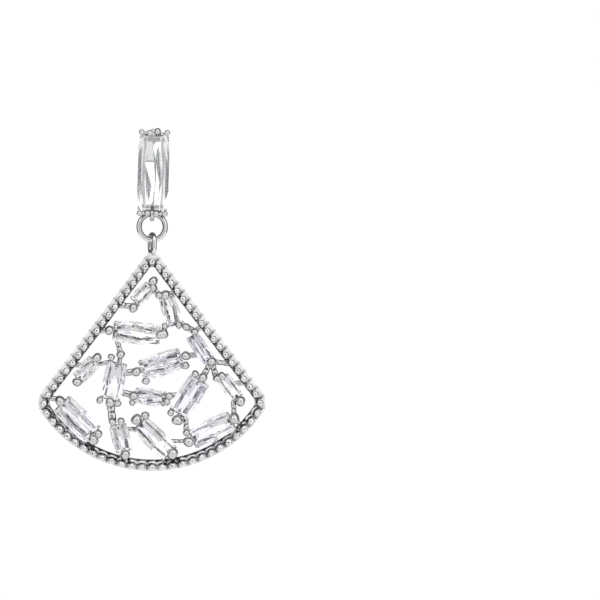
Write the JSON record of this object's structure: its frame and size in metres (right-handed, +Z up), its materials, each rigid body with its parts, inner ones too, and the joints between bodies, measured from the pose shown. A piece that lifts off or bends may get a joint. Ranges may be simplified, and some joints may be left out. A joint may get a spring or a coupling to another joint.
{
  "type": "fan earring",
  "caption": "Drop earring: a stud with a long clear stone, a round jump ring, and a fan-shaped openwork drop of clear stones in a beaded silver rim.",
  "frame": {"origin": "on the back of the stud, on the axis of its post, where the ear lobe sits", "axes": "+Z up towards the top of the stud, -Y out of the front of the stones, +Y along the post"},
  "size_m": [0.0252, 0.0126, 0.038],
  "materials": {
    "silver": "polished, rhodium bright",
    "clear_stone": "cut and polished, clear"
  },
  "bodies": {
    "stud": {"stud_setting": "silver", "ear_post": "silver", "stud_stone": "clear_stone"},
    "ring": {"jump_ring": "silver"},
    "drop": {"fan_frame": "silver", "fan_stone_1": "clear_stone", "fan_stone_2": "clear_stone", "fan_stone_3": "clear_stone", "fan_stone_4": "clear_stone", "fan_stone_5": "clear_stone", "fan_stone_6": "clear_stone", "fan_stone_7": "clear_stone", "fan_stone_8": "clear_stone", "fan_stone_9": "clear_stone", "fan_stone_10": "clear_stone", "fan_stone_11": "clear_stone", "fan_stone_12": "clear_stone", "fan_stone_13": "clear_stone", "fan_stone_14": "clear_stone"}
  },
  "joints": [
    {"name": "ring_swing", "type": "hinge", "parent": "stud", "child": "ring", "pos_m": [-0.00018, -0.0009, -0.00654], "axis": [1, 0, 0], "range_deg": [-35, 35]},
    {"name": "drop_sway", "type": "hinge", "parent": "ring", "child": "drop", "pos_m": [-0.00018, -0.0009, -0.00799], "axis": [0, 1, 0], "range_deg": [-40, 40]}
  ]
}
